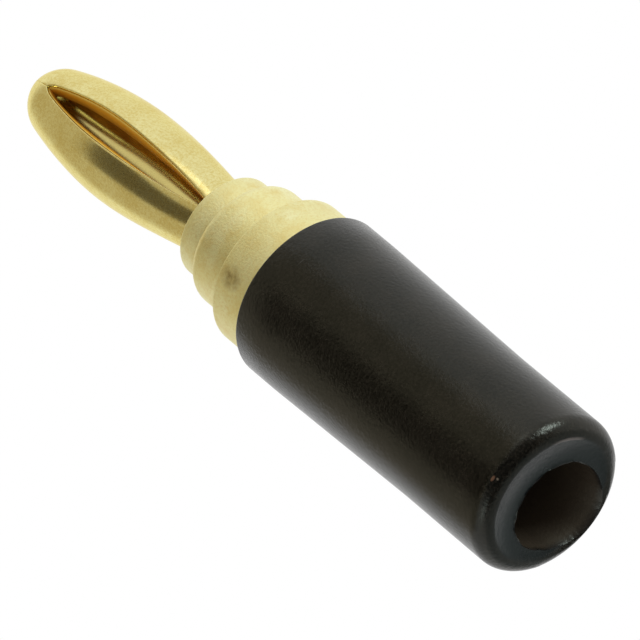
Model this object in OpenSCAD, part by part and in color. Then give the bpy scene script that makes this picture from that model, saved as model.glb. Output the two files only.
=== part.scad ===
// Banana plug for a 4 mm socket: a slotted spring contact, a stepped turned body and a slip-on sleeve.
// The plug stands on the rear face of its sleeve with the contact up. All sizes are in millimetres.

/* [Sleeve] */
// Length of the sleeve
sleeve_len = 15; // [13:0.1:20]
// Diameter of the sleeve where the body stretches it, next to the front edge
sleeve_front_d = 7.08; // [6.9:0.02:8]
// Diameter of the relaxed sleeve behind the body
sleeve_rear_d = 6.76; // [6.4:0.02:6.9]
// Length behind the front edge that keeps the full front diameter
sleeve_band_len = 1.6; // [0.5:0.1:3]
// Length of the relaxed stretch at the rear
sleeve_rear_len = 5.4; // [3:0.1:6]
// Rounding of the rear outer edge
rear_edge_r = 0.66; // [0.2:0.02:0.8]
// Rounding of the front outer edge
front_edge_r = 0.08; // [0.04:0.02:0.12]
// Diameter of the hole that the insulated wire enters by
wire_hole_d = 3.88; // [2:0.02:4.2]
// Distance of the wire hole from the sleeve's axis, where the mould's core has shifted
wire_hole_shift = 0.55; // [0:0.05:0.6]

/* [Body] */
// Length of the body that sits inside the sleeve
shank_len = 9.0; // [7:0.1:10]
// Diameter of the shank inside the sleeve
shank_d = 5.6; // [5.2:0.02:5.8]
// Diameter of the rear ring
rear_ring_d = 6.46; // [6:0.02:6.6]
// Length of the rear ring that shows in front of the sleeve
rear_ring_len = 1.88; // [1:0.02:3]
// Length of the rear ring that sits in the sleeve's widened mouth
ring_seat_len = 1.5; // [0.8:0.1:2.5]
// Diameter of the middle ring
mid_ring_d = 5.35; // [5.1:0.01:5.6]
// Length of the middle ring
mid_ring_len = 2.28; // [1.2:0.02:3]
// Rounding of the middle ring's front edge
mid_ring_edge_r = 0.3; // [0.1:0.02:0.4]
// Diameter of the front ring, which meets the socket's rim
front_ring_d = 4.45; // [4.1:0.01:4.7]
// Length of the front ring
front_ring_len = 1.17; // [0.8:0.01:2]
// Bevel on the edges of the rings
ring_bevel = 0.06; // [0.02:0.01:0.1]
// Bevel on the shank's rear edge, which leads it into the sleeve
shank_bevel = 0.35; // [0.1:0.05:0.6]
// Diameter of the solder cup in the shank
cup_d = 2.6; // [1.2:0.05:3]
// Depth of the solder cup
cup_depth = 5.0; // [3:0.1:6]

/* [Spring contact] */
// Number of leaves between the slits
leaf_count = 3; // [2:1:4]
// Outer diameter of the contact's tube at its root and at its domed tip
tube_d = 2.96; // [2.8:0.02:3.1]
// Wall of the tube, which shows as the thickness of the leaves in the slits
tube_wall = 0.8; // [0.5:0.02:0.9]
// Width of the slits before the leaves are bowed
slit_w = 0.12; // [0.08:0.02:0.2]
// Width of the seams in the tip, where the slits close
seam_w = 0.04; // [0.02:0.01:0.06]
// Diameter of the solid core in the tip, which the leaves run into
core_d = 2.0; // [1.7:0.05:2.1]
// Distance that each leaf is bowed outwards
leaf_bow = 0.72; // [0.6:0.02:0.8]
// Radius of the leaf's bow
bow_r = 18; // [17:0.5:20]
// Height of the widest place over the front ring
bow_height = 5.4; // [5:0.1:5.8]
// Height over the front ring at which the bow ends and the tip starts
tip_height = 10; // [9.6:0.1:10.4]
// Length of the straight neck under the domed tip
neck_len = 0.2; // [0.1:0.05:0.4]
// Depth of the contact's root in the body
root_depth = 4; // [2.5:0.1:4.5]
// Height over the front ring at which the slits start
root_stand = 0.4; // [0.3:0.05:0.6]
// Lean of the bowed leaves from the plug's axis, in degrees
contact_lean = 2.5; // [0:0.5:4]

/* [Fits] */
// Room between the body and the sleeve that slips over it
sleeve_clear = 0.03; // [0.01:0.01:0.06]
// Radial room between the contact's root and its bore
root_clear = 0.01; // [0:0.01:0.03]

/* [Hidden] */
$fn = 128;
margin = 1;

// Heights of the faces over the rear face of the sleeve
seat_z = sleeve_len - shank_len;
ring_seat_z = sleeve_len - ring_seat_len;
rear_ring_z = sleeve_len + rear_ring_len;
mid_ring_z = rear_ring_z + mid_ring_len;
shoulder_z = mid_ring_z + front_ring_len;

// A leaf bends over one arc: where it leaves the root, its slope there and at the tip, and the tip's offset
foot_height = root_stand / 2;
foot_slope = asin((bow_height - foot_height) / bow_r);
tip_slope = asin((tip_height - bow_height) / bow_r);
tip_offset = leaf_bow - bow_r * (1 - cos(tip_slope));
leaf_half_angle = 180 / leaf_count;

// What rounds off the outer corner of a revolved profile; dir is 1 at a lower edge, -1 at an upper one
module corner_cut(x, y, r, dir) {
    difference() {
        translate([x - r, dir > 0 ? y - margin : y - r])
            square([r + margin, r + margin]);
        translate([x - r, y + dir * r])
            circle(r = r);
    }
}

// The wedge that one leaf keeps between two gaps of a given width, centred on +X
module leaf_wedge(gap) {
    apex = gap / 2 / sin(leaf_half_angle);
    reach = 3 * tube_d;
    edge = [apex + reach * cos(leaf_half_angle), reach * sin(leaf_half_angle)];
    polygon([[apex, 0], edge, [2 * reach, edge[1]], [2 * reach, -edge[1]], [edge[0], -edge[1]]]);
}

// Half outline of the tip: a quarter circle on a short straight neck
module dome_section(r) {
    square([r, neck_len]);
    translate([0, neck_len])
        intersection() {
            circle(r = r);
            square(r);
        }
}

module leaf_section() {
    intersection() {
        difference() {
            circle(d = tube_d);
            circle(d = tube_d - 2 * tube_wall);
        }
        leaf_wedge(slit_w);
    }
}

// Moves a shape to the place where a leaf's bow ends, and tilts it to the leaf's slope there
module at_leaf_end() {
    translate([tip_offset, 0, tip_height])
        rotate([0, -tip_slope, 0])
            children();
}

// One leaf's part of the domed tip: its slits narrow to the seams, because the leaf leans inwards
module leaf_tip() {
    intersection() {
        at_leaf_end() {
            intersection() {
                rotate_extrude()
                    dome_section(tube_d / 2);
                linear_extrude(tube_d)
                    leaf_wedge(slit_w);
            }
        }
        linear_extrude(2 * tip_height)
            leaf_wedge(seam_w);
    }
}

// One leaf, bowed towards +X, from its part of the tip back down to the root
module leaf() {
    leaf_tip();
    at_leaf_end()
        translate([-bow_r, 0, 0])
            rotate([-90, 0, 0])
                rotate_extrude(angle = foot_slope + tip_slope)
                    translate([bow_r, 0])
                        leaf_section();
}

// Slotted contact: a tubular root in the body and bowed leaves that run into the core of the closed tip
module contact_spring() {
    color("palegoldenrod")
        translate([0, 0, shoulder_z]) {
            translate([0, 0, -root_depth])
                linear_extrude(root_depth + root_stand)
                    difference() {
                        circle(d = tube_d);
                        circle(d = tube_d - 2 * tube_wall);
                    }
            rotate([0, -contact_lean, 0]) {
                translate([0, 0, tip_height + neck_len])
                    sphere(d = core_d);
                for (i = [0 : leaf_count - 1])
                    rotate([0, 0, 270 + (2 * i + 1) * leaf_half_angle])
                        leaf();
            }
        }
}

// Turned body: three rings of rising diameter, a shank, the contact's bore and a solder cup
module plug_body() {
    shank_r = shank_d / 2;
    rear_r = rear_ring_d / 2;
    mid_r = mid_ring_d / 2;
    front_r = front_ring_d / 2;
    color("khaki")
        difference() {
            rotate_extrude()
                difference() {
                    polygon([
                        [0, seat_z],
                        [shank_r - shank_bevel, seat_z],
                        [shank_r, seat_z + shank_bevel],
                        [shank_r, ring_seat_z],
                        [rear_r - ring_bevel, ring_seat_z],
                        [rear_r, ring_seat_z + ring_bevel],
                        [rear_r, rear_ring_z - ring_bevel],
                        [rear_r - ring_bevel, rear_ring_z],
                        [mid_r, rear_ring_z],
                        [mid_r, mid_ring_z],
                        [front_r, mid_ring_z],
                        [front_r, shoulder_z - ring_bevel],
                        [front_r - ring_bevel, shoulder_z],
                        [0, shoulder_z]
                    ]);
                    corner_cut(mid_r, mid_ring_z, mid_ring_edge_r, -1);
                }
            translate([0, 0, shoulder_z - root_depth])
                cylinder(d = tube_d + 2 * root_clear, h = root_depth + margin);
            translate([0, 0, seat_z - margin])
                cylinder(d = cup_d, h = cup_depth + margin);
        }
}

// Slip-on sleeve: a stretched front over the shank and a thick rear round the wire
module insulating_sleeve() {
    front_r = sleeve_front_d / 2;
    rear_r = sleeve_rear_d / 2;
    color("#2b2a26")
        difference() {
            rotate_extrude()
                difference() {
                    polygon([
                        [0, 0],
                        [rear_r, 0],
                        [rear_r, sleeve_rear_len],
                        [front_r, sleeve_len - sleeve_band_len],
                        [front_r, sleeve_len],
                        [0, sleeve_len]
                    ]);
                    corner_cut(rear_r, 0, rear_edge_r, 1);
                    corner_cut(front_r, sleeve_len, front_edge_r, -1);
                }
            translate([0, 0, seat_z])
                cylinder(d = shank_d + 2 * sleeve_clear, h = shank_len + margin);
            translate([0, 0, ring_seat_z - sleeve_clear])
                cylinder(d = rear_ring_d + 2 * sleeve_clear, h = ring_seat_len + margin);
            translate([0, wire_hole_shift, -margin])
                cylinder(d = wire_hole_d, h = seat_z + 2 * margin);
        }
}

contact_spring();
plug_body();
insulating_sleeve();
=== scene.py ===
"""Banana plug with a slotted spring contact, a stepped turned body and a slip-on black sleeve.

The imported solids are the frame: each piece here is modelled at the place of its solid and rides on its body.
All sizes are in metres, in the frame's own axes: the plug stands on its rear end with the contact up.
"""

import logging
import math
from collections.abc import Callable, Sequence
from dataclasses import dataclass
from enum import Enum
from typing import Any

import bmesh
import bpy
from mathutils import Matrix, Vector, noise


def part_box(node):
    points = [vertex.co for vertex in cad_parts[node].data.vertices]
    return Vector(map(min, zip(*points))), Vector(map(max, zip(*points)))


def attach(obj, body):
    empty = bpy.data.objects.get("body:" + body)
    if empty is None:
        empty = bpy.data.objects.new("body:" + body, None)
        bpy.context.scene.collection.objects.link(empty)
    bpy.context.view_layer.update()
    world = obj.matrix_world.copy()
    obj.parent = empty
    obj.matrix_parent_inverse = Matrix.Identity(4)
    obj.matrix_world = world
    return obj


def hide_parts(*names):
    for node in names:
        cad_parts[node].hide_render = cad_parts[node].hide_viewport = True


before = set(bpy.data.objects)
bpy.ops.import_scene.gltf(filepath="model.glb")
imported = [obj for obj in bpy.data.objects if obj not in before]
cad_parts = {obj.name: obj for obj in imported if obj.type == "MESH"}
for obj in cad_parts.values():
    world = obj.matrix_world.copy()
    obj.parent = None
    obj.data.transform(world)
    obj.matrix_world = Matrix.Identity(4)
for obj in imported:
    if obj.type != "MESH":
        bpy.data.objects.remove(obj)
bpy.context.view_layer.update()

LOG = logging.getLogger("banana_plug")
MM = 0.001
IMAGE_SIDE_PX = 640
INSIDE = "inside"
OXIDE = "oxide"
BURR = "burr"
NEAR = 0.001 * MM
Colour = tuple[float, float, float]
Point = tuple[float, float, float]


def mm(*sizes: float) -> tuple[float, ...]:
    """Sizes in millimetres, given in metres."""
    return tuple(size * MM for size in sizes)


class Body(Enum):
    """The two bodies that slide on each other."""

    SLEEVE = "sleeve"
    CORE = "core"


class Slot(Enum):
    """The record's material slots."""

    POLISHED_GOLD = "polished_gold"
    MATTE_GOLD = "matte_gold"
    BLACK_VINYL = "black_vinyl"


class Pick(Enum):
    """What a selection in edit mode is made of."""

    VERTS = "VERT"
    EDGES = "EDGE"
    FACES = "FACE"


@dataclass(frozen=True)
class Signal:
    """One output in a node tree. Arithmetic on signals and numbers adds Math nodes."""

    tree: bpy.types.NodeTree
    socket: bpy.types.NodeSocket

    def _math(self, operation: str, left: Any, right: Any) -> "Signal":
        """Adds one Math node.

        Args:
            operation: The node's operation.
            left: First operand, a signal or a number.
            right: Second operand, a signal or a number.

        Returns:
            The node's result.
        """
        return NodeDesk(self.tree).add("ShaderNodeMath", {"operation": operation}, {0: left, 1: right})

    def __add__(self, other: Any) -> "Signal":
        """Sum with a signal or a number."""
        return self._math("ADD", self, other)

    def __radd__(self, other: Any) -> "Signal":
        """Sum with a number on the left."""
        return self._math("ADD", other, self)

    def __sub__(self, other: Any) -> "Signal":
        """Difference from a signal or a number."""
        return self._math("SUBTRACT", self, other)

    def __rsub__(self, other: Any) -> "Signal":
        """Difference from a number on the left."""
        return self._math("SUBTRACT", other, self)

    def __mul__(self, other: Any) -> "Signal":
        """Product with a signal or a number."""
        return self._math("MULTIPLY", self, other)

    def __rmul__(self, other: Any) -> "Signal":
        """Product with a number on the left."""
        return self._math("MULTIPLY", other, self)

    def __pow__(self, other: Any) -> "Signal":
        """Power of a signal."""
        return self._math("POWER", self, other)

    def __rpow__(self, other: Any) -> "Signal":
        """Power of a number on the left."""
        return self._math("POWER", other, self)

    def at_least(self, other: Any) -> "Signal":
        """The larger of this and another value."""
        return self._math("MAXIMUM", self, other)


@dataclass(frozen=True)
class Mark:
    """A soft-edged mark at one place of a surface."""

    colour: Colour
    place: Point
    radii: Point
    softness: float


class NodeDesk:
    """Adds nodes to one tree."""

    def __init__(self, tree: bpy.types.NodeTree) -> None:
        """Keeps the tree that the nodes go to."""
        self.tree = tree

    def node(
        self, kind: str, settings: dict[str, Any] | None = None, inputs: dict[Any, Any] | None = None
    ) -> bpy.types.Node:
        """Adds one node.

        Args:
            kind: The node's type.
            settings: Properties that are set first; stops are a ramp's places and grey levels.
            inputs: Values or signals for the sockets, by name or number.

        Returns:
            The new node.
        """
        node = self.tree.nodes.new(kind)
        for name, value in (settings or {}).items():
            if name == "stops":
                self._set_stops(node.color_ramp, value)
            else:
                setattr(node, name, value)
        for key, value in (inputs or {}).items():
            socket = node.inputs[key]
            if isinstance(value, Signal):
                self.tree.links.new(value.socket, socket)
            else:
                socket.default_value = value
        return node

    def add(
        self,
        kind: str,
        settings: dict[str, Any] | None = None,
        inputs: dict[Any, Any] | None = None,
        output: Any = 0,
    ) -> Signal:
        """Adds one node and takes one of its outputs.

        Args:
            kind: The node's type.
            settings: Properties that are set first.
            inputs: Values or signals for the sockets.
            output: Name or number of the output.

        Returns:
            The chosen output.
        """
        return Signal(self.tree, self.node(kind, settings, inputs).outputs[output])

    @staticmethod
    def _set_stops(ramp: bpy.types.ColorRamp, stops: Sequence[tuple[float, float]]) -> None:
        """Gives a ramp grey stops.

        Args:
            ramp: The ramp to change.
            stops: Place and grey level of each stop, in rising order.
        """
        while len(ramp.elements) < len(stops):
            ramp.elements.new(1.0)
        for element, (place, level) in zip(ramp.elements, stops):
            element.position = place
            element.color = (level, level, level, 1.0)

    def mix(self, first: Any, second: Any, factor: Any) -> Signal:
        """Mixes two colours.

        Args:
            first: Colour or signal at factor 0.
            second: Colour or signal at factor 1.
            factor: Signal or number.

        Returns:
            The mixed colour.
        """
        values = {6: self._opaque(first), 7: self._opaque(second), 0: factor}
        return self.add("ShaderNodeMix", {"data_type": "RGBA"}, values, output=2)

    @staticmethod
    def _opaque(colour: Any) -> Any:
        """Adds an alpha of 1 to a plain colour and passes a signal on."""
        return colour if isinstance(colour, Signal) else (*colour, 1.0)

    def place(self) -> Signal:
        """Object coordinates."""
        return self.add("ShaderNodeTexCoord", output="Object")

    def mapped(self, scale: Point, shift: Point = (0, 0, 0)) -> Signal:
        """Object coordinates, with each axis scaled and then shifted by itself.

        Args:
            scale: Factor of each axis.
            shift: Shift along each axis.

        Returns:
            The new coordinates.
        """
        inputs = {"Vector": self.place(), "Scale": scale, "Location": shift}
        return self.add("ShaderNodeMapping", inputs=inputs)

    def clouds(
        self, size: float, detail: float = 3.0, roughness: float = 0.55, stretch: Point = (1, 1, 1)
    ) -> Signal:
        """Soft noise over the surface.

        Args:
            size: Size of the largest blotches, in metres.
            detail: Number of finer octaves.
            roughness: Strength of the finer octaves.
            stretch: How many times longer the blotches are along each axis.

        Returns:
            A value around 0.5.
        """
        where = self.mapped(tuple(1.0 / s for s in stretch))
        inputs = {"Vector": where, "Scale": 1.0 / size, "Detail": detail, "Roughness": roughness}
        return self.add("ShaderNodeTexNoise", inputs=inputs)

    def coordinate(self, axis: str) -> Signal:
        """One object coordinate, in metres."""
        return self.add("ShaderNodeSeparateXYZ", inputs={0: self.place()}, output=axis)

    def attribute(self, name: str) -> Signal:
        """A value that the mesh carries."""
        return self.add("ShaderNodeAttribute", {"attribute_name": name}, output="Fac")

    def fade(self, value: Any, start: float, end: float) -> Signal:
        """Rises smoothly from 0 to 1.

        Args:
            value: The value to map.
            start: Where the result is 0.
            end: Where the result is 1.

        Returns:
            The mapped value, held between 0 and 1.
        """
        inputs = {"Value": value, "From Min": start, "From Max": end}
        return self.add("ShaderNodeMapRange", {"interpolation_type": "SMOOTHSTEP"}, inputs)

    def pits(self, size: float, share: float) -> Signal:
        """Small separate dots.

        Args:
            size: Distance between dots, in metres.
            share: Radius of a dot as a share of that distance.

        Returns:
            1 at the middle of a dot and 0 between dots.
        """
        cells = self.add("ShaderNodeTexVoronoi", inputs={"Vector": self.place(), "Scale": 1.0 / size})
        return self.steps(cells, [(0.0, 1.0), (share, 0.0)])

    def steps(self, value: Signal, stops: Sequence[tuple[float, float]]) -> Signal:
        """Maps a value through a ramp.

        Args:
            value: The value to map.
            stops: Place and level of each stop.

        Returns:
            The mapped value.
        """
        return self.add("ShaderNodeValToRGB", {"stops": stops}, {"Fac": value})

    def spot(self, mark: Mark) -> Signal:
        """The cover of a mark.

        Args:
            mark: The mark.

        Returns:
            1 in its middle and 0 outside.
        """
        shift = tuple(-c / r for c, r in zip(mark.place, mark.radii))
        where = self.mapped(tuple(1.0 / r for r in mark.radii), shift)
        reach = self.add("ShaderNodeVectorMath", {"operation": "LENGTH"}, {0: where}, output="Value")
        return self.steps(reach, [(1.0 - mark.softness, 1.0), (1.0, 0.0)])

    def bump(self, height: Signal, distance: float) -> Signal:
        """Turns a height into a normal.

        Args:
            height: Height signal, where 1 stands for the full distance.
            distance: Full height in metres.

        Returns:
            The bumped normal.
        """
        inputs = {"Height": height, "Distance": distance, "Strength": 1.0}
        return self.add("ShaderNodeBump", inputs=inputs)


def feed(tree: bpy.types.NodeTree, target: str, shader: Callable[[NodeDesk], Signal]) -> None:
    """Empties a node tree and feeds its output from one shader.

    Args:
        tree: The tree.
        target: Type of its output node.
        shader: Adds the shader's nodes.
    """
    tree.nodes.clear()
    desk = NodeDesk(tree)
    desk.node(target, inputs={"Surface": shader(desk)})


def new_material(name: str, shader: Callable[[NodeDesk], Signal]) -> bpy.types.Material:
    """Makes a material.

    Args:
        name: Name of the material.
        shader: Adds the shader's nodes.

    Returns:
        The new material.
    """
    material = bpy.data.materials.new(name)
    material.use_nodes = True
    feed(material.node_tree, "ShaderNodeOutputMaterial", shader)
    return material


@dataclass(frozen=True)
class Finish:
    """A surface finish that is built from nodes."""

    name: str
    colour: Colour
    roughness: float

    def make(self) -> bpy.types.Material:
        """The finish's material."""
        return new_material(self.name, self.surface)

    def surface(self, desk: NodeDesk) -> Signal:
        """The finish's shader."""
        return desk.add("ShaderNodeBsdfPrincipled", inputs=self.sockets(desk))

    def sockets(self, desk: NodeDesk) -> dict[str, Any]:
        """Inputs of the surface shader; each finish gives its own."""
        raise NotImplementedError


@dataclass(frozen=True)
class PolishedGold(Finish):
    """Thin pale gold plating on the drawn spring metal, with a copper-brown oxide in the slits."""

    name: str = "polished_gold"
    colour: Colour = (0.775, 0.705, 0.33)
    roughness: float = 0.15
    tarnish: Colour = (0.66, 0.54, 0.19)
    # Painted light: the insides of the leaves are a paler, brighter gold than the outer plating, which lifts
    # the reflection seen through the slits.
    inside: Colour = (1.0, 0.92, 0.43)
    # The cut faces' oxide is real; its grading from this light orange near the outside to near black deep in
    # the slits is painted light and shade.
    edge: Colour = (0.86, 0.62, 0.14)
    oxide: Colour = (0.68, 0.33, 0.022)
    oxide_in_painted_shade: Colour = (0.3, 0.12, 0.01)
    sheen: Colour = (1.0, 0.95, 0.7)
    skin: float = 0.15
    cloud_size: float = 1.1 * MM
    grain_size: float = 0.1 * MM
    line_size: float = 0.09 * MM
    line_depth: float = 0.0004 * MM
    patch_size: float = 0.5 * MM

    def surface(self, desk: NodeDesk) -> Signal:
        """Gold, with the oxide's own shader on the cut faces; that oxide is painted light orange near the
        outside and dark deep in the slits, as painted shade.

        Args:
            desk: The desk of the material's tree.

        Returns:
            The mixed shader.
        """
        gold = super().surface(desk)
        depth = desk.attribute(INSIDE)
        blotches = desk.clouds(self.patch_size, detail=4, stretch=(1, 1, 3))
        patches = desk.steps(blotches, [(0.3, 0.4), (0.65, 1.0)])
        # Painted light and shade: the oxide colour runs from light orange near the outside to dark deeper in
        # the slit.
        worn = desk.mix(self.edge, self.oxide, desk.fade(depth, self.skin, 0.5))
        oxide = desk.add(
            "ShaderNodeBsdfPrincipled",
            inputs={
                "Base Color": desk.mix(worn, self.oxide_in_painted_shade, desk.fade(depth, 0.45, 1.0) * patches),
                "Specular IOR Level": 0.05,
                "Roughness": 0.7,
            },
        )
        cover = desk.fade(depth, 0.0, self.skin) * desk.attribute(OXIDE)
        return desk.add("ShaderNodeMixShader", inputs={0: cover, 1: gold, 2: oxide})

    def sockets(self, desk: NodeDesk) -> dict[str, Any]:
        """Gold with faint tarnish, a paler inside as painted light, drawing lines along the leaves and a soft
        polish.

        Args:
            desk: The desk of the material's tree.

        Returns:
            Values and signals for the shader's sockets.
        """
        cloud = desk.clouds(self.cloud_size, detail=5, roughness=0.6)
        grain = desk.clouds(self.grain_size, detail=3, roughness=0.7)
        hidden = desk.fade(desk.attribute(INSIDE), 0.0, self.skin)
        lines = desk.clouds(self.line_size, detail=2, stretch=(1, 1, 14)) * (1 - hidden)
        speckle = desk.steps(grain, [(0.42, 0.0), (0.66, 0.9)])
        dull = desk.steps(cloud, [(0.42, 0.0), (0.72, 0.55)]) + speckle
        outside = desk.mix(self.colour, self.tarnish, dull)
        return {
            # Painted light: the insides take the brighter inside gold.
            "Base Color": desk.mix(outside, self.inside, hidden),
            "Metallic": 1.0,
            "Roughness": self.roughness + 0.1 * cloud - 0.02 * hidden,
            "Specular Tint": (*self.sheen, 1.0),
            "Normal": desk.bump(lines, self.line_depth),
        }


@dataclass(frozen=True)
class MatteGold(Finish):
    """Gold plating on the turned and tumbled body, with a fine grain and a stain."""

    name: str = "matte_gold"
    colour: Colour = (0.82, 0.765, 0.39)
    roughness: float = 0.41
    warm: Colour = (0.75, 0.62, 0.25)
    pale: Colour = (0.87, 0.85, 0.51)
    stain: Mark = Mark((0.34, 0.25, 0.09), mm(-1.67, -2.76, 16.2), mm(0.58, 0.58, 0.66), 0.85)
    blotch_size: float = 0.9 * MM
    rubbed_size: float = 1.7 * MM
    ragged_size: float = 0.28 * MM
    grain_size: float = 0.1 * MM
    grain_depth: float = 0.02 * MM

    def sockets(self, desk: NodeDesk) -> dict[str, Any]:
        """Grainy gold with warm blotches, pale rubbed patches and one brown stain.

        Args:
            desk: The desk of the material's tree.

        Returns:
            Values and signals for the shader's sockets.
        """
        blotch = desk.clouds(self.blotch_size, detail=6, roughness=0.65)
        rubbed = desk.clouds(self.rubbed_size, detail=5, roughness=0.6, stretch=(1, 1, 0.6))
        grain = desk.clouds(self.grain_size, detail=3, roughness=0.7)
        ragged = desk.clouds(self.ragged_size, detail=4, roughness=0.6)
        stained = desk.spot(self.stain) * desk.steps(ragged, [(0.3, 0.25), (0.6, 1.0)])
        toned = desk.mix(self.colour, self.warm, desk.steps(blotch, [(0.48, 0.0), (0.68, 0.75)]))
        toned = desk.mix(toned, self.pale, desk.steps(rubbed, [(0.46, 0.0), (0.64, 0.8)]))
        speckle = desk.steps(grain, [(0.45, 0.0), (0.75, 0.85)])
        return {
            "Base Color": desk.mix(desk.mix(toned, self.warm, speckle), self.stain.colour, stained),
            "Metallic": 1.0,
            "Roughness": self.roughness + 0.14 * blotch,
            "Normal": desk.bump(grain, self.grain_depth),
        }


@dataclass(frozen=True)
class BlackVinyl(Finish):
    """Satin black moulded vinyl, duller on the trimmed rear face, which carries a faint blue-grey painted
    reflection.
    """

    name: str = "black_vinyl"
    colour: Colour = (0.0008, 0.0004, 0.0002)
    roughness: float = 0.15
    worn: Colour = (0.022, 0.017, 0.012)
    speckle: Colour = (0.0105, 0.0085, 0.006)
    # The trimmed rear face is duller vinyl; its faint blue-grey colour is painted reflection of cool light.
    trimmed: Colour = (0.003, 0.005, 0.006)
    # Painted highlight along the lip of the rear rim; the same colour also lightens the burr round the wire
    # hole.
    rubbed: Colour = (0.02, 0.018, 0.017)
    # Painted light: the wire hole's wall is the same vinyl, painted a lighter brown than the outside to lift
    # the hole's shade.
    wall: Colour = (0.038, 0.027, 0.017)
    sheen: Colour = (0.97, 1.0, 0.86)
    chip: Mark = Mark((0.12, 0.06, 0.035), mm(-1.12, -3.11, 0.36), mm(0.16, 0.1, 0.07), 0.5)
    scratch: Mark = Mark((0.2, 0.16, 0.12), mm(-1.02, -3.07, 0.22), mm(0.06, 0.1, 0.06), 0.8)
    # Painted highlight: a pale arc on the upper part of the rear rim's lip.
    painted_rim_highlight: Mark = Mark((0.15, 0.125, 0.115), mm(2.1, -1.85, 0.02), mm(1.1, 1.1, 0.4), 1.0)
    nick: Mark = Mark((0.03, 0.028, 0.025), mm(0.46, -3.5, 13.7), mm(0.22, 0.3, 0.035), 0.7)
    handled: Mark = Mark((0.03, 0.028, 0.025), mm(0.5, -3.5, 14.6), mm(0.55, 0.3, 0.5), 0.8)
    trimmed_r: float = 2.7 * MM
    trimmed_fade: float = 0.06 * MM
    rear_span: tuple[float, float] = mm(0.3, 0.2)
    rim_rise: tuple[float, float] = mm(-0.12, -0.03)
    rim_fall: float = 0.1 * MM
    cloud_size: float = 2.2 * MM
    patch_size: float = 0.8 * MM
    grain_size: float = 0.14 * MM
    grain_depth: float = 0.018 * MM
    speckle_size: float = 0.1 * MM
    dust_gap: float = 0.9 * MM
    dust_share: float = 0.045

    def sockets(self, desk: NodeDesk) -> dict[str, Any]:
        """Near black with a faint warm mottle, dust, a fine moulded grain and a painted highlight along the
        rear rim.

        Args:
            desk: The desk of the material's tree.

        Returns:
            Values and signals for the shader's sockets.
        """
        cloud = desk.clouds(self.cloud_size, detail=4)
        grain = desk.clouds(self.grain_size, detail=3, roughness=0.65)
        fine = desk.clouds(self.speckle_size, detail=2, roughness=0.6)
        patches = desk.steps(desk.clouds(self.patch_size, detail=4), [(0.38, 0.0), (0.6, 1.0)])
        dust = desk.pits(self.dust_gap, self.dust_share)
        hidden = desk.attribute(INSIDE)
        mottle = desk.steps(cloud, [(0.45, 0.0), (0.8, 0.6)]) + dust * 0.5
        moulded = desk.mix(self.colour, self.speckle, desk.steps(fine, [(0.36, 0.0), (0.64, 1.0)]))
        side, front = desk.coordinate("X"), desk.coordinate("Y")
        reach = (side * side + front * front) ** 0.5 - self.trimmed_r
        rear = desk.fade(desk.coordinate("Z"), *self.rear_span)
        trimmed = rear * desk.fade(reach, self.trimmed_fade, -self.trimmed_fade) * (1 - hidden)
        # Painted highlight: a patchy band round the lip of the rear rim, mixed below with the lighter burr
        # round the hole.
        rim = rear * desk.fade(reach, *self.rim_rise) * desk.fade(reach, self.rim_fall, 0.0) * patches
        light = (rim * 0.5).at_least(desk.attribute(BURR) * patches)
        touched = (desk.spot(self.handled) * patches * 0.5).at_least(desk.spot(self.nick))
        toned = moulded
        for colour, cover in (
            (self.worn, mottle),
            # Painted reflection: the trimmed rear face's faint blue-grey.
            (self.trimmed, trimmed),
            # Painted highlight on the rim's lip, and the lighter burr round the hole.
            (self.rubbed, light),
            # Painted highlight: the pale arc on the rim's lip.
            (self.painted_rim_highlight.colour, rim * desk.spot(self.painted_rim_highlight)),
            (self.scratch.colour, desk.spot(self.scratch) * 0.8),
            (self.nick.colour, touched),
            # Painted light: the lighter hole wall.
            (self.wall, hidden),
            (self.chip.colour, desk.spot(self.chip)),
        ):
            toned = desk.mix(toned, colour, cover)
        return {
            "Base Color": toned,
            "Specular IOR Level": 0.29,
            "Specular Tint": (*self.sheen, 1.0),
            "Roughness": self.roughness + 0.1 * cloud + 0.06 * trimmed + 0.35 * hidden,
            "Normal": desk.bump(grain, self.grain_depth),
        }


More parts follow.
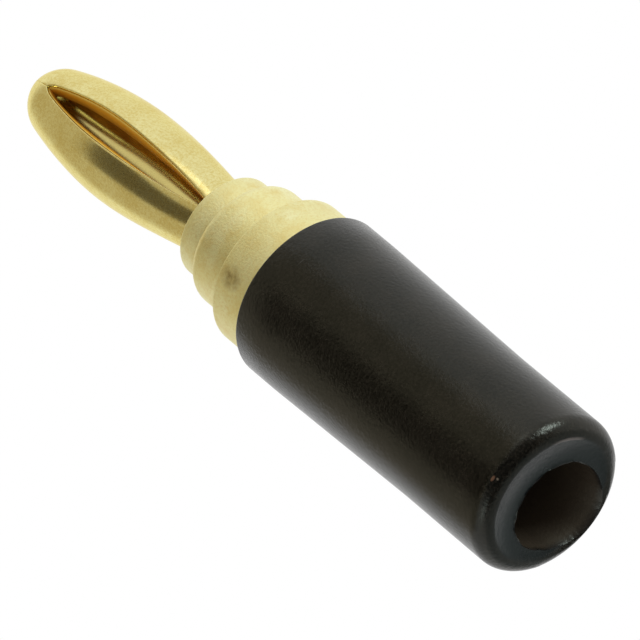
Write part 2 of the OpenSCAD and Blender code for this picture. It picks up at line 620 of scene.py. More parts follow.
class Bench:
    """Shapes one mesh with edit-mode operators."""

    def __init__(self, name: str) -> None:
        """Starts a bench for a piece of the given name."""
        self.name = name
        self.piece: bpy.types.Object | None = None

    def circle(self, radius: float, height: float, sides: int, filled: bool) -> None:
        """Starts the piece from a circle, selected all over.

        Args:
            radius: Radius of the circle.
            height: Its height over the origin.
            sides: Number of sides.
            filled: Whether the circle is a disc or a bare ring.
        """
        bpy.ops.object.select_all(action="DESELECT")
        bpy.ops.mesh.primitive_circle_add(
            vertices=sides, radius=radius, fill_type="NGON" if filled else "NOTHING", location=(0, 0, height)
        )
        self.piece = bpy.context.object
        self.piece.name = self.name
        self.piece.data.name = self.name
        bpy.ops.object.transform_apply(location=True, rotation=True, scale=True)
        bpy.ops.object.mode_set(mode="EDIT")
        bpy.ops.mesh.select_mode(type="FACE" if filled else "EDGE")
        bpy.ops.mesh.select_all(action="SELECT")

    def pick(self, kind: Pick, test: Callable[[Vector], bool]) -> int:
        """Selects what lies at a place.

        Args:
            kind: Verts, edges or faces.
            test: Says whether a vertex, or all the vertices of an edge or face, are at the place.

        Returns:
            How many were selected.
        """
        bpy.ops.mesh.select_mode(type=kind.value)
        bpy.ops.mesh.select_all(action="DESELECT")
        shape = bmesh.from_edit_mesh(self.piece.data)
        group = {Pick.VERTS: shape.verts, Pick.EDGES: shape.edges, Pick.FACES: shape.faces}[kind]
        count = 0
        for item in group:
            corners = [item] if kind is Pick.VERTS else item.verts
            if all(test(v.co) for v in corners):
                item.select_set(True)
                count += 1
        bmesh.update_edit_mesh(self.piece.data)
        return count

    def move(self, place: Callable[[Vector], Vector], test: Callable[[Vector], bool] | None = None) -> None:
        """Moves each selected vertex, or each one at a place.

        Args:
            place: Gives the new place of a vertex from its old one.
            test: Says whether a vertex is moved, whatever is selected.
        """
        shape = bmesh.from_edit_mesh(self.piece.data)
        for vert in shape.verts:
            if test(vert.co) if test else vert.select:
                vert.co = place(vert.co)
        bmesh.update_edit_mesh(self.piece.data)

    def mark(self, name: str, value: Callable[[Vector], float]) -> None:
        """Gives each vertex a value that the finish can read.

        Args:
            name: Name of the value.
            value: Gives the value at a vertex; it is held between 0 and 1.
        """
        shape = bmesh.from_edit_mesh(self.piece.data)
        layer = shape.verts.layers.float.get(name) or shape.verts.layers.float.new(name)
        for vert in shape.verts:
            vert[layer] = min(max(value(vert.co), 0.0), 1.0)
        bmesh.update_edit_mesh(self.piece.data)

    def slide(self, distance: float) -> None:
        """Moves what is selected along +Y."""
        bpy.ops.transform.translate(value=(0, distance, 0), orient_type="GLOBAL")

    def lathe(
        self, outline: Sequence[tuple[float, float]], start: tuple[float, float], shift: float = 0.0
    ) -> None:
        """Extrudes the selected end face along an outline.

        Args:
            outline: Radius and height of each next ring.
            start: Radius and height of the selected face.
            shift: Distance of the rings' axis from the piece's axis, along +Y.
        """
        radius, height = start
        for next_radius, next_height in outline:
            ratio = next_radius / radius
            bpy.ops.mesh.extrude_region_move(
                TRANSFORM_OT_translate={"value": (0, 0, next_height - height)}
            )
            bpy.ops.transform.resize(
                value=(ratio, ratio, 1), orient_type="GLOBAL", center_override=(0, shift, next_height)
            )
            radius, height = next_radius, next_height

    def round_ring(self, radius: float, height: float, width: float, segments: int) -> None:
        """Rounds the edge ring at a radius and height.

        Args:
            radius: Radius of the ring.
            height: Height of the ring.
            width: Width of the rounding.
            segments: Number of segments in it.
        """
        near = 4 * NEAR
        found = self.pick(
            Pick.EDGES,
            lambda co: abs(math.hypot(co.x, co.y) - radius) < near and abs(co.z - height) < near,
        )
        LOG.debug("%s: %d edges rounded", self.name, found)
        bpy.ops.mesh.bevel(
            offset=width, offset_type="OFFSET", segments=segments, profile=0.5, affect="EDGES"
        )

    def close(self) -> bpy.types.Object:
        """Turns the faces outwards and leaves edit mode.

        Returns:
            The finished piece.
        """
        bpy.ops.mesh.select_mode(type="VERT")
        bpy.ops.mesh.select_all(action="SELECT")
        bpy.ops.mesh.remove_doubles(threshold=1e-7)
        bpy.ops.mesh.normals_make_consistent(inside=False)
        bpy.ops.object.mode_set(mode="OBJECT")
        return self.piece


def smooth(piece: bpy.types.Object, angle_deg: float) -> None:
    """Shades a piece smooth below an angle.

    Args:
        piece: The piece.
        angle_deg: Angle between faces above which an edge stays sharp.
    """
    bpy.ops.object.select_all(action="DESELECT")
    piece.select_set(True)
    bpy.context.view_layer.objects.active = piece
    bpy.ops.object.shade_smooth_by_angle(angle=math.radians(angle_deg))


def dress(piece: bpy.types.Object, finish: Finish, slot: Slot, body: Body, node: str) -> None:
    """Gives a finished piece its material, its body and the solid that it stands for.

    Args:
        piece: The piece.
        finish: Its finish.
        slot: The record's slot of that finish; it is not used.
        body: The body that it rides on.
        node: The solid that it stands for.
    """
    piece.data.materials.clear()
    piece.data.materials.append(finish.make())
    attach(piece, body.value)
    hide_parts(node)
    LOG.info("%s: %d faces on %s", piece.name, len(piece.data.polygons), body.value)


@dataclass
class SpringContact:
    """The slotted contact: three leaves bowed from one tube, which meet at the pointed tip."""

    shoulder: float
    node: str = "contact_spring"
    leaves: int = 3
    first_slit_deg: float = 270
    tube_r: float = 1.48 * MM
    wall: float = 0.8 * MM
    slit: float = 0.26 * MM
    inside_r: float = 0.85 * MM
    bow: float = 0.63 * MM
    foot_bow_r: float = 24.9 * MM
    tip_bow_r: float = 14.67 * MM
    bow_height: float = 5.8 * MM
    foot_height: float = 0.2 * MM
    tip_slope_deg: float = 16.4
    tip_flat_reach: float = 5.2 * MM
    foot_flat_reach: float = 5.4 * MM
    flatten: float = 0.3
    nose: float = 0.227 * MM
    seam_share: float = 0.2
    seam_fill: float = 0.998
    seal_start: float = 0.82
    seal_power: int = 5
    spread: float = 0.07
    root_depth: float = 4 * MM
    root_stand: float = 0.4 * MM
    lean_deg: float = 2.5
    edge_round: float = 0.2 * MM
    edge_steps: int = 6
    skin: float = 0.09 * MM
    worn_depth: float = 0.36 * MM
    oxide_edge: float = 0.08
    bare_half: float = 0.46
    bare_end: float = 7.6 * MM
    bare_fade: float = 2.6 * MM
    sides: int = 96
    bow_steps: int = 48
    dome_steps: int = 28

    def _section(self, bench: Bench) -> None:
        """Cuts a leaf's section from a ring: an arc between two slits, with rounded corners.

        Args:
            bench: The bench of the leaf.
        """
        half = math.pi / self.leaves
        bench.circle(self.tube_r, 0, self.sides, filled=False)
        for side in (1, -1):
            bpy.ops.mesh.select_all(action="SELECT")
            bpy.ops.mesh.bisect(
                plane_co=(self.slit / 2 / math.sin(half), 0, 0),
                plane_no=(-math.sin(half), side * math.cos(half), 0),
                clear_outer=True,
            )
        bpy.ops.mesh.select_all(action="SELECT")
        bpy.ops.mesh.extrude_region_move()
        bench.move(self._inside)
        bpy.ops.mesh.select_mode(type="VERT")
        bpy.ops.mesh.select_all(action="DESELECT")
        shape = bmesh.from_edit_mesh(bench.piece.data)
        for vert in shape.verts:
            vert.select_set(len(vert.link_edges) == 2 and vert.co.length > self.tube_r - self.edge_round)
        bmesh.update_edit_mesh(bench.piece.data)
        bpy.ops.mesh.bevel(offset=self.edge_round, segments=self.edge_steps, affect="VERTICES")

    def _inside(self, old: Vector) -> Vector:
        """Moves a point of the tube's outside straight in to the flatter inside of a leaf.

        Args:
            old: Place of a vertex.

        Returns:
            Its new place.
        """
        way = old.normalized()
        back = self.inside_r - (self.tube_r - self.wall)
        return way * (math.sqrt(self.inside_r**2 - (back * way.y) ** 2) - back * way.x)

    def _relax(self, old: Vector) -> Vector:
        """Flattens and widens a leaf towards the crest of its bow, as bending does.

        Args:
            old: Place of a vertex.

        Returns:
            Its new place.
        """
        bow_r, flat_reach = (
            (self.tip_bow_r, self.tip_flat_reach) if old.z > 0 else (self.foot_bow_r, self.foot_flat_reach)
        )
        share = math.cos(0.5 * math.pi * min(abs(old.z) / flat_reach, 1.0)) ** 2
        slope = math.atan2(old.z, old.x + bow_r)
        across = math.hypot(old.x + bow_r, old.z) - bow_r
        deep = math.hypot(across, old.y) - self.tube_r
        flat_r = self.tube_r / (1 - self.flatten * share)
        angle = math.atan2(old.y, across) * self.tube_r / flat_r * (1 + self.spread * share)
        across = self.tube_r - flat_r + (flat_r + deep) * math.cos(angle)
        return Vector(
            (
                (bow_r + across) * math.cos(slope) - bow_r,
                (flat_r + deep) * math.sin(angle),
                (bow_r + across) * math.sin(slope),
            )
        )

    def _seal(self, old: Vector) -> Vector:
        """Widens a leaf ahead of the tip, where the slits run out into seams.

        Args:
            old: Place of a vertex.

        Returns:
            Its new place.
        """
        half = math.pi / self.leaves
        slope = math.atan2(old.z, old.x + self.tip_bow_r)
        share = (slope / math.radians(self.tip_slope_deg) - self.seal_start) / (1 - self.seal_start)
        corner = half - math.asin(self.slit / 2 / self.tube_r)
        arm = (self.tip_bow_r + self.tube_r * math.cos(corner)) * math.cos(slope) - self.tip_bow_r + self.bow
        edge = math.atan2(self.tube_r * math.sin(corner), arm)
        wide = 1 + (self.seam_fill * half / edge - 1) * min(max(share, 0.0), 1.0) ** self.seal_power
        around = math.atan2(old.y, old.x + self.bow) * wide
        reach = math.hypot(old.x + self.bow, old.y)
        return Vector((reach * math.cos(around) - self.bow, reach * math.sin(around), old.z))

    def _oxide(self, place: Vector) -> float:
        """How much oxide a place on a leaf carries: only the middle of its inside stays bare.

        Args:
            place: Place of a vertex.

        Returns:
            The cover, which is held between 0 and 1 later.
        """
        bow_r = self.tip_bow_r if place.z > 0 else self.foot_bow_r
        across = math.hypot(place.x + bow_r, place.z) - bow_r
        bare = self.bare_half * min(max((self.bare_end - place.z) / self.bare_fade, 0.0), 1.0)
        return (abs(math.atan2(place.y, across)) - bare) / self.oxide_edge

    def leaf(self) -> bpy.types.Object:
        """Models one leaf, bowed towards +X: its section is spun both ways from the crest of the bow.

        Returns:
            The leaf, in the contact's own upright frame.
        """
        bench = Bench("leaf")
        self._section(bench)
        bench.mark(INSIDE, lambda co: (self.tube_r - self.skin - co.to_2d().length) / self.worn_depth)
        tip_slope = math.radians(self.tip_slope_deg)
        foot_slope = math.asin((self.bow_height - self.foot_height) / self.foot_bow_r)
        for bow_r, slope, way in ((self.foot_bow_r, foot_slope, -1), (self.tip_bow_r, tip_slope, 1)):
            found = bench.pick(Pick.FACES, lambda co: abs(co.z) < 0.1 * NEAR)
            LOG.debug("leaf: %d faces spun", found)
            bpy.ops.mesh.spin(steps=self.bow_steps, angle=slope, center=(-bow_r, 0, 0), axis=(0, way, 0))
        bench.move(self._seal, lambda co: co.z > 0.5 * self.tip_flat_reach)
        self._dome(bench, tip_slope)
        bench.mark(OXIDE, self._oxide)
        bench.move(self._relax, lambda co: -self.foot_flat_reach < co.z < self.tip_flat_reach)
        piece = bench.close()
        piece.data.transform(Matrix.Translation((self.bow, 0, self.bow_height)))
        return piece

    def _dome(self, bench: Bench, tip_slope: float) -> None:
        """Draws the end of the leaf in over the tip, ring by ring, to the contact's axis.

        Args:
            bench: The bench of the leaf, with the end face selected.
            tip_slope: Slope of the leaf there, in radians.
        """
        reach = self.tip_bow_r + self.tube_r
        outer_x = reach * math.cos(tip_slope) - self.tip_bow_r + self.bow
        centre = Vector((-self.bow, 0, reach * math.sin(tip_slope) - outer_x * math.tan(tip_slope)))
        outer = outer_x / math.cos(tip_slope)
        nose = outer + self.nose
        shape = bmesh.from_edit_mesh(bench.piece.data)
        edge = 0.0
        for vert in shape.verts:
            if vert.select:
                spoke = vert.co - centre
                edge = max(edge, abs(math.atan2(spoke.y, spoke.x)))
        fill = self.seam_fill * math.pi / self.leaves / edge

        def widen(share: float) -> float:
            """How far the slits have closed at a share of the way to the pole."""
            return 1 + (fill - 1) * min(share / self.seam_share, 1.0)

        def open_share(share: float) -> float:
            """How much of the rounding along the slits is left at a share of the way to the pole."""
            return max(1 - share / self.seam_share, 0.0)

        def draw_in(share: float, before: float) -> Callable[[Vector], Vector]:
            """Gives the move of one ring towards the pole.

            Args:
                share: Share of the way to the pole after the move.
                before: That share before the move.

            Returns:
                What gives the new place of a vertex.
            """

            def place(old: Vector) -> Vector:
                """The new place of one vertex.

                Args:
                    old: Place of a vertex.

                Returns:
                    Its new place.
                """
                spoke = old - centre
                polar = math.acos(max(-1.0, min(1.0, spoke.z / spoke.length)))
                around = math.atan2(spoke.y, spoke.x) * widen(share) / widen(before)
                base = (spoke.length - nose * before**2) / (1 - before**2)
                if outer - base < self.edge_round:
                    base = outer - (outer - base) * open_share(share) / max(open_share(before), 1e-3)
                length = nose * share**2 + base * (1 - share**2)
                polar *= (1 - share) / (1 - before)
                return centre + length * Vector(
                    (math.sin(polar) * math.cos(around), math.sin(polar) * math.sin(around), math.cos(polar))
                )

            return place

        for step in range(self.dome_steps):
            bpy.ops.mesh.extrude_region_move()
            bench.move(draw_in((step + 1) / self.dome_steps, step / self.dome_steps))

    def root(self) -> bpy.types.Object:
        """Models the tube that sits in the body.

        Returns:
            The root, in the contact's own frame.
        """
        bench = Bench("root")
        inner = self.tube_r - self.wall
        low, high = -self.root_depth, self.root_stand
        bench.circle(self.tube_r, low, self.sides, filled=True)
        bench.lathe([(self.tube_r, high), (inner, high), (inner, low + self.wall)], (self.tube_r, low))
        return bench.close()

    def build(self) -> bpy.types.Object:
        """Models the leaves and the root and joins them.

        Returns:
            The contact.
        """
        pattern = self.leaf()
        lean = Matrix.Rotation(-math.radians(self.lean_deg), 4, "Y")
        parts = [pattern]
        for _ in range(1, self.leaves):
            leaf = pattern.copy()
            leaf.data = pattern.data.copy()
            bpy.context.scene.collection.objects.link(leaf)
            parts.append(leaf)
        for index, leaf in enumerate(parts):
            turn = math.radians(self.first_slit_deg) + (2 * index + 1) * math.pi / self.leaves
            leaf.data.transform(lean @ Matrix.Rotation(turn, 4, "Z"))
        root = self.root()
        bpy.ops.object.select_all(action="DESELECT")
        for part in [*parts, root]:
            part.select_set(True)
        bpy.context.view_layer.objects.active = pattern
        bpy.ops.object.join()
        piece = bpy.context.object
        piece.name = "spring_contact"
        piece.data.transform(Matrix.Translation((0, 0, self.shoulder)))
        smooth(piece, angle_deg=50)
        return piece


@dataclass
class TurnedBody:
    """The stepped body: three rings in front of the sleeve and a shank with a solder cup inside it."""

    seat: float
    shoulder: float
    node: str = "plug_body"
    shank_r: float = 2.8 * MM
    rear_ring_r: float = 3.23 * MM
    mid_ring_r: float = 2.675 * MM
    front_ring_r: float = 2.225 * MM
    shank_len: float = 7.5 * MM
    mid_ring_len: float = 2.28 * MM
    front_ring_len: float = 1.17 * MM
    bore_r: float = 1.49 * MM
    bore_depth: float = 4 * MM
    cup_r: float = 1.3 * MM
    cup_depth: float = 5 * MM
    shank_bevel: float = 0.35 * MM
    edge_round: float = 0.06 * MM
    mid_round: float = 0.42 * MM
    sides: int = 192

    def build(self) -> bpy.types.Object:
        """Turns the body from a disc at the seat.

        Returns:
            The body.
        """
        bench = Bench("stepped_body")
        ring_seat = self.seat + self.shank_len
        mid_top = self.shoulder - self.front_ring_len
        rear_top = mid_top - self.mid_ring_len
        bench.circle(self.shank_r, self.seat, self.sides, filled=True)
        bench.lathe(
            [
                (self.shank_r, ring_seat),
                (self.rear_ring_r, ring_seat),
                (self.rear_ring_r, rear_top),
                (self.mid_ring_r, rear_top),
                (self.mid_ring_r, mid_top),
                (self.front_ring_r, mid_top),
                (self.front_ring_r, self.shoulder),
                (self.bore_r, self.shoulder),
                (self.bore_r, self.shoulder - self.bore_depth),
            ],
            (self.shank_r, self.seat),
        )
        bench.pick(Pick.FACES, lambda co: abs(co.z - self.seat) < NEAR)
        cup = [(self.cup_r, self.seat), (self.cup_r, self.seat + self.cup_depth)]
        bench.lathe(cup, (self.shank_r, self.seat))
        for radius, height, width, segments in (
            (self.shank_r, self.seat, self.shank_bevel, 1),
            (self.rear_ring_r, rear_top, self.edge_round, 3),
            (self.mid_ring_r, mid_top, self.mid_round, 10),
            (self.front_ring_r, self.shoulder, self.edge_round, 3),
            (self.cup_r, self.seat, self.edge_round, 2),
        ):
            bench.round_ring(radius, height, width, segments)
        piece = bench.close()
        smooth(piece, angle_deg=35)
        return piece


@dataclass
class Sleeve:
    """The moulded sleeve, with a thin stretched front and a thick rounded rear round the wire hole."""

    length: float
    front_r: float
    seat: float
    node: str = "insulating_sleeve"
    rear_r: float = 3.38 * MM
    band: float = 1.6 * MM
    rear_len: float = 5.4 * MM
    rear_round: float = 0.66 * MM
    front_round: float = 0.08 * MM
    bore_r: float = 2.83 * MM
    mouth_r: float = 3.26 * MM
    mouth_depth: float = 1.53 * MM
    hole_r: float = 1.94 * MM
    hole_shift: float = 0.55 * MM
    lip_r: float = 2.66 * MM
    dish_r: float = 2.58 * MM
    dish_depth: float = 0.06 * MM
    hole_depth: float = 0.13 * MM
    rim_width: float = 0.1 * MM
    rim_shift: float = 0.04 * MM
    crest: float = 0.03 * MM
    ease: float = 0.01 * MM
    wall_start: float = 0.25 * MM
    wall_end: float = 1.2 * MM
    burr_span: tuple[float, float] = mm(0.08, 0.122)
    flash: float = 0.05 * MM
    flash_share: float = 0.6
    tear_gain: float = 1.1
    tear_ring: float = 3.0
    tear_level: float = 0.4
    tear_scale: float = 1.4
    fine_tear: float = 0.35
    fine_tear_scale: float = 3.4
    wave_share: float = 0.5
    wave_scale: float = 2.9
    torn: float = 0.62 * MM
    torn_turn: float = 0.28
    torn_half: float = 0.6
    sides: int = 256

    def build(self) -> bpy.types.Object:
        """Draws the sleeve up from its rear face and opens the wire hole.

        Returns:
            The sleeve.
        """
        bench = Bench("sleeve")
        mouth_seat = self.length - self.mouth_depth
        bench.circle(self.rear_r, 0, self.sides, filled=True)
        bench.lathe(
            [
                (self.rear_r, self.rear_len),
                (self.front_r, self.length - self.band),
                (self.front_r, self.length),
                (self.mouth_r, self.length),
                (self.mouth_r, mouth_seat),
                (self.bore_r, mouth_seat),
                (self.bore_r, self.seat),
                (self.hole_r, self.seat),
            ],
            (self.rear_r, 0),
        )
        bench.slide(self.hole_shift)
        bpy.ops.mesh.delete(type="ONLY_FACE")
        self._rear_face(bench)
        bench.round_ring(self.rear_r, 0, self.rear_round, segments=12)
        bench.round_ring(self.front_r, self.length, self.front_round, segments=3)
        bench.pick(Pick.VERTS, lambda co: co.z < self.rear_round)
        bench.move(self._thin_lip)
        piece = bench.close()
        smooth(piece, angle_deg=40)
        return piece

    def _rear_face(self, bench: Bench) -> None:
        """Dishes the rear face, trims the hole with a ragged edge and opens it through to the bore.

        Args:
            bench: The bench of the sleeve.
        """
        bench.pick(Pick.FACES, lambda co: abs(co.z) < NEAR)
        bench.lathe([(self.lip_r, 0), (self.dish_r, self.dish_depth)], (self.rear_r, 0))
        rim = (self.hole_r + self.rim_width, self.hole_depth)
        rim_axis = self.hole_shift - self.rim_shift
        bench.lathe([rim], (self.dish_r, self.dish_depth))
        bench.slide(rim_axis)
        bench.lathe([(self.hole_r, self.hole_depth)], rim, rim_axis)
        bench.slide(self.rim_shift)
        crest = (self.hole_r - self.crest, self.hole_depth - self.crest)
        bench.lathe([crest], (self.hole_r, self.hole_depth), self.hole_shift)
        bench.move(self._ragged)
        wall = (self.hole_r - self.ease, self.hole_depth + self.wall_start)
        bench.lathe([wall, (self.hole_r, self.wall_end)], crest, self.hole_shift)
        bpy.ops.mesh.delete(type="ONLY_FACE")
        bench.pick(
            Pick.EDGES,
            lambda co: self._off_axis(co) < 0.8 * self.rim_width
            and (abs(co.z - self.wall_end) < 1.2 * self.rim_width or abs(co.z - self.seat) < NEAR),
        )
        bpy.ops.mesh.bridge_edge_loops()
        low, high = self.burr_span
        bench.mark(INSIDE, lambda co: float(self._off_axis(co) < self.rim_width and co.z > self.wall_start))
        bench.mark(BURR, lambda co: float(self._off_axis(co) < self.rim_width and low < co.z < high))

    def _off_axis(self, place: Vector) -> float:
        """Distance of a point outside the wire hole's wall."""
        return math.hypot(place.x, place.y - self.hole_shift) - self.hole_r

    def _thin_lip(self, old: Vector) -> Vector:
        """Draws the hole's edge out over the rounding, on the side nearest to the rim.

        Args:
            old: Place of a vertex.

        Returns:
            Its new place.
        """
        far = self.hole_shift + self.hole_r
        reach = old.to_2d().length
        angle = math.atan2(old.x, old.y)
        weight = math.exp(-(((angle - self.torn_turn) / self.torn_half) ** 2))
        weight *= 1 - old.z / self.rear_round
        inner = max(reach, far * math.cos(angle) - 2 * self.rim_width)
        pull = weight * self.torn * (self.rear_r - inner) / (self.rear_r - far)
        next_reach = reach + max(pull, 0.0)
        over = max(next_reach - (self.rear_r - self.rear_round), 0.0)
        rise = self.rear_round - math.sqrt(max(self.rear_round**2 - over**2, 0.0))
        height = max(old.z, rise + self.ease) if pull > self.ease else old.z
        return Vector((old.x * next_reach / reach, old.y * next_reach / reach, height))

    def _ragged(self, old: Vector) -> Vector:
        """Pulls the trimmed edge of the hole in and out, as a dull cutter leaves it.

        Args:
            old: Place of a vertex.

        Returns:
            Its new place.
        """
        angle = math.atan2(old.y - self.hole_shift, old.x)
        ring = self.tear_ring
        around = Vector((ring * math.cos(angle), ring * math.sin(angle), self.tear_level))
        fine = self.fine_tear * noise.noise(around * self.fine_tear_scale)
        tear = noise.noise(around * self.tear_scale) + fine
        reach = self.hole_r - self.flash * (self.flash_share + self.tear_gain * tear)
        return Vector(
            (
                reach * math.cos(angle),
                self.hole_shift + reach * math.sin(angle),
                old.z - self.wave_share * self.flash * noise.noise(around * self.wave_scale),
            )
        )


@dataclass(frozen=True)
class Flag:
    """A soft-edged card that only shows in reflections."""

    name: str
    side_deg: float
    lift_deg: float
    half_deg: tuple[float, float]
    shade: Colour
    fades: tuple[float, float, float, float]
    lean: float = 0.0

    def shader(self, desk: NodeDesk) -> Signal:
        """Tinted glass that fades to clear at the card's edges.

        Args:
            desk: The desk of the card's tree.

        Returns:
            The mixed shader.
        """
        along = desk.coordinate("Y")
        across = desk.coordinate("X") - self.lean * along
        left, right, low, high = self.fades
        cover = desk.fade(across, -0.5, -0.5 + left) * desk.fade(across, 0.5, 0.5 - right)
        cover = cover * desk.fade(along, -0.5, -0.5 + low) * desk.fade(along, 0.5, 0.5 - high)
        shaded = desk.add("ShaderNodeBsdfTransparent", inputs={"Color": (*self.shade, 1.0)})
        clear = desk.add("ShaderNodeBsdfTransparent")
        return desk.add("ShaderNodeMixShader", inputs={0: cover, 1: clear, 2: shaded})


@dataclass(frozen=True)
class Softbox:
    """A lamp that faces the object."""

    name: str
    side_deg: float
    lift_deg: float
    size: tuple[float, float]
    watts: float
    tint: Colour = (1, 1, 1)


@dataclass
class Studio:
    """Camera, lights, flags, floor and background."""

    distance: float = 0.4
    px_per_mm: float = 26.23
    sensor: float = 36.0
    azimuth_deg: float = -6.2
    elevation_deg: float = -38.0
    axis_angle_deg: float = 40.08
    aim_height: float = 13.89 * MM
    aim_px: tuple[float, float] = (326.9, 311.9)
    lamp_reach: float = 0.25
    flag_reach: float = 0.3
    clip: tuple[float, float] = (0.01, 10)
    ambient: float = 0.6
    floor_size: float = 2.0
    floor_drop: float = 0.02 * MM
    floor_colour: Colour = (0.9, 0.9, 0.89)
    softboxes: tuple[Softbox, ...] = (
        Softbox("key_softbox", 35, 16, (0.06, 0.09), 0.022),
        Softbox("cool_right", 68, -16, (0.06, 0.1), 0.3, (0.85, 0.97, 1)),
        Softbox("cool_left", -74, -38, (0.07, 0.07), 0.03, (0.85, 0.97, 1)),
    )
    flags: tuple[Flag, ...] = (
        Flag("dim_room", -40, 38, (68, 50), (0.6, 0.54, 0.41), (0.28, 0.28, 0.15, 0.3)),
        Flag("dark_card", -38, 24, (23, 21), (0.2, 0.19, 0.18), (0.14, 0.12, 0.15, 0.12), -0.31),
        Flag("camera_side", 0, -50, (55, 53), (0.1, 0.1, 0.1), (0.2, 0.2, 0.2, 0.26)),
        Flag("rear_shade", 180, -60, (45, 52), (0.44, 0.485, 0.49), (0.25, 0.25, 0.3, 0.15)),
    )

    def axes(self) -> tuple[Vector, Vector, Vector]:
        """The camera's own axes.

        Returns:
            Image right, image up and the way from the object to the camera.
        """
        away = self.towards(0, self.elevation_deg)
        az = math.radians(self.azimuth_deg)
        side = Vector((math.cos(az), math.sin(az), 0))
        rise = away.cross(side)
        angle = math.radians(self.axis_angle_deg)
        right = math.sin(angle) * side - math.cos(angle) * rise
        up = math.cos(angle) * side + math.sin(angle) * rise
        return right, up, away

    def camera(self) -> None:
        """Adds the camera at the photograph's angle."""
        right, up, away = self.axes()
        across = (self.aim_px[0] - IMAGE_SIDE_PX / 2) / self.px_per_mm * MM
        above = (IMAGE_SIDE_PX / 2 - self.aim_px[1]) / self.px_per_mm * MM
        aim = Vector((0, 0, self.aim_height)) - across * right - above * up
        data = bpy.data.cameras.new("camera")
        data.sensor_width = self.sensor
        data.lens = self.px_per_mm / MM * self.distance * self.sensor / IMAGE_SIDE_PX
        data.clip_start, data.clip_end = self.clip
        camera = bpy.data.objects.new("camera", data)
        turn = Matrix((right, up, away)).transposed().to_4x4()
        camera.matrix_world = Matrix.Translation(aim + self.distance * away) @ turn
        bpy.context.scene.collection.objects.link(camera)
        bpy.context.scene.camera = camera

    def world(self) -> None:
        """Sets a white surround that lights the object softly."""

        def shader(desk: NodeDesk) -> Signal:
            """White where it is seen or mirrored, and dimmer where it only lights the object.

            Args:
                desk: The desk of the world's tree.

            Returns:
                The background.
            """
            seen = desk.add("ShaderNodeLightPath", output="Is Camera Ray")
            mirrored = desk.add("ShaderNodeLightPath", output="Is Glossy Ray")
            through = desk.add("ShaderNodeLightPath", output="Is Transmission Ray")
            strength = self.ambient + (1 - self.ambient) * seen.at_least(mirrored).at_least(through)
            inputs = {"Color": (1, 1, 1, 1), "Strength": strength}
            return desk.add("ShaderNodeBackground", inputs=inputs)

        world = bpy.data.worlds.new("white_surround")
        world.use_nodes = True
        feed(world.node_tree, "ShaderNodeOutputWorld", shader)
        bpy.context.scene.world = world

    def towards(self, side_deg: float, lift_deg: float) -> Vector:
        """A direction from the object.

        Args:
            side_deg: Turn from the camera towards +X, in degrees.
            lift_deg: Angle over the plug's own horizon, in degrees.

        Returns:
            The unit direction.
        """
        az = math.radians(self.azimuth_deg + side_deg)
        el = math.radians(lift_deg)
        return Vector((math.sin(az) * math.cos(el), -math.cos(az) * math.cos(el), math.sin(el)))

    def light(self, softbox: Softbox) -> None:
        """Adds a softbox.

        Args:
            softbox: The softbox.
        """
        data = bpy.data.lights.new(softbox.name, "AREA")
        data.shape = "RECTANGLE"
        data.size, data.size_y = softbox.size
        data.energy = softbox.watts
        data.color = softbox.tint
        lamp = bpy.data.objects.new(softbox.name, data)
        way = self.towards(softbox.side_deg, softbox.lift_deg)
        lamp.location = Vector((0, 0, self.aim_height)) + way * self.lamp_reach
        lamp.rotation_euler = way.to_track_quat("Z", "Y").to_euler()
        lamp.visible_camera = False
        bpy.context.scene.collection.objects.link(lamp)

    def hang(self, flag: Flag) -> None:
        """Hangs a soft-edged card.

        Args:
            flag: The flag.
        """
        bpy.ops.object.select_all(action="DESELECT")
        bpy.ops.mesh.primitive_plane_add(size=1)
        card = bpy.context.object
        card.name = flag.name
        for corner in card.data.vertices:
            corner.co.x += flag.lean * corner.co.y
        way = self.towards(flag.side_deg, flag.lift_deg)
        width, height = (2 * self.flag_reach * math.tan(math.radians(half)) for half in flag.half_deg)
        card.matrix_world = (
            Matrix.Translation(Vector((0, 0, self.aim_height)) + way * self.flag_reach)
            @ way.to_track_quat("Z", "Y").to_matrix().to_4x4()
            @ Matrix.Diagonal((width, height, 1, 1))
        )
        card.data.materials.append(new_material(flag.name, flag.shader))
        card.visible_camera = False
        card.visible_shadow = False
        card.visible_diffuse = False

    def floor(self) -> None:
        """Lays a pale floor that shows from above and is clear from below."""

        def shader(desk: NodeDesk) -> Signal:
            """Pale from above and clear from below.

            Args:
                desk: The desk of the floor's tree.

            Returns:
                The mixed shader.
            """
            below = desk.add("ShaderNodeNewGeometry", output="Backfacing")
            pale = desk.add("ShaderNodeBsdfDiffuse", inputs={"Color": (*self.floor_colour, 1.0)})
            clear = desk.add("ShaderNodeBsdfTransparent")
            return desk.add("ShaderNodeMixShader", inputs={0: below, 1: pale, 2: clear})

        bpy.ops.object.select_all(action="DESELECT")
        bpy.ops.mesh.primitive_plane_add(size=self.floor_size, location=(0, 0, -self.floor_drop))
        floor = bpy.context.object
        floor.name = "floor"
        floor.data.materials.append(new_material("pale_floor", shader))
        floor.visible_shadow = False
        floor.visible_diffuse = False
        floor.visible_glossy = False

    def set_up(self) -> None:
        """Adds all of the studio."""
        bpy.context.scene.view_settings.view_transform = "Standard"
        self.camera()
        self.world()
        for softbox in self.softboxes:
            self.light(softbox)
        for flag in self.flags:
            self.hang(flag)
        self.floor()


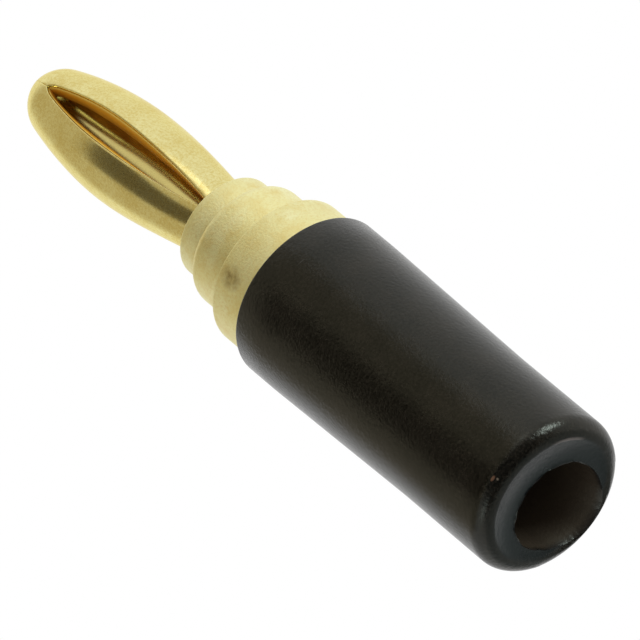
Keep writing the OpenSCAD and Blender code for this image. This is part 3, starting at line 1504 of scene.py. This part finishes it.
def main() -> None:
    """Builds the studio and the pieces in order."""
    logging.basicConfig(level=logging.INFO, format="%(name)s: %(message)s")
    Studio().set_up()
    sleeve_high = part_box("insulating_sleeve")[1]
    body_low, body_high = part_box("plug_body")
    contact = SpringContact(shoulder=body_high.z)
    dress(contact.build(), PolishedGold(), Slot.POLISHED_GOLD, Body.CORE, contact.node)
    body = TurnedBody(seat=body_low.z, shoulder=body_high.z)
    dress(body.build(), MatteGold(), Slot.MATTE_GOLD, Body.CORE, body.node)
    sleeve = Sleeve(length=sleeve_high.z, front_r=sleeve_high.x, seat=body_low.z)
    dress(sleeve.build(), BlackVinyl(), Slot.BLACK_VINYL, Body.SLEEVE, sleeve.node)


if __name__ == "__main__":
    main()
